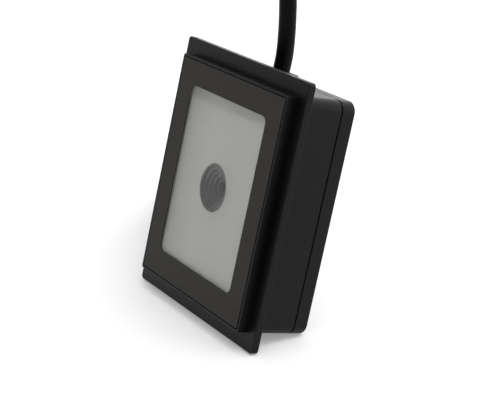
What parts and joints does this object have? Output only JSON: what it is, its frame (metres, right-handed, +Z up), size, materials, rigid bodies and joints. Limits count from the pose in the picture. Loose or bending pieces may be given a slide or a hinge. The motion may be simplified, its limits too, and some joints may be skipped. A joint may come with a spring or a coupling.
{
  "type": "barcode scanner",
  "caption": "Built-in area barcode scanner: a flanged black housing whose lit, milky window surrounds a camera port, with a cable that leaves its top and ends in a tied hank and a plug.",
  "frame": {"origin": "on the surface that the scanner leans on, under the middle of its width and of its depth", "axes": "+X to the right seen from the scanner's front, +Y backwards along the surface, +Z up; the flange leans back from +Z by about 15 degrees"},
  "size_m": [0.1342, 0.0893, 0.124],
  "materials": {
    "black_plastic": "black moulded plastic with a fine satin grain",
    "black_film": "matt black printed panel",
    "clear_plastic": "clear plastic plate",
    "milky_plastic": "milky white diffusing plastic",
    "baffle_black": "matt black plastic",
    "rubber": "black rubber",
    "glass": "coated lens glass",
    "circuit_board": "green solder mask",
    "chip": "black moulded package",
    "lamp": "phosphor-filled light-emitting diode",
    "steel": "plated steel",
    "black_steel": "black-coated steel",
    "white_plastic": "off-white moulded plastic",
    "cable_jacket": "smooth black cable jacket, soft vinyl"
  },
  "bodies": {
    "root": {"main_housing": "black_plastic", "rear_cover": "black_plastic", "front_panel": "black_film", "window_plate": "clear_plastic", "diffuser": "milky_plastic", "lens_baffle": "baffle_black", "lens_barrel": "baffle_black", "lens_holder": "baffle_black", "engine_frame": "baffle_black", "cover_seal": "rubber", "cable_grommet": "rubber", "hank_tie": "rubber", "front_lens": "glass", "rear_lens": "glass", "light_board": "circuit_board", "camera_board": "circuit_board", "decoder_board": "circuit_board", "image_sensor": "chip", "processor_chip": "chip", "memory_chip": "chip", "buzzer": "chip", "lamp_1": "lamp", "lamp_2": "lamp", "lamp_3": "lamp", "lamp_4": "lamp", "lamp_5": "lamp", "lamp_6": "lamp", "lamp_7": "lamp", "lamp_8": "lamp", "frame_screw_1": "steel", "frame_screw_2": "steel", "camera_screw_1": "steel", "camera_screw_2": "steel", "camera_screw_3": "steel", "camera_screw_4": "steel", "decoder_screw_1": "steel", "decoder_screw_2": "steel", "decoder_screw_3": "steel", "decoder_screw_4": "steel", "plug_shell": "steel", "cover_screw_1": "black_steel", "cover_screw_2": "black_steel", "cover_screw_3": "black_steel", "cover_screw_4": "black_steel", "board_link": "white_plastic", "lead_socket": "white_plastic", "lead_plug": "white_plastic", "plug_tongue": "white_plastic", "inner_lead": "cable_jacket", "cable": "cable_jacket", "cable_tail": "cable_jacket", "cable_hank": "cable_jacket", "plug_grip": "cable_jacket"}
  },
  "joints": []
}
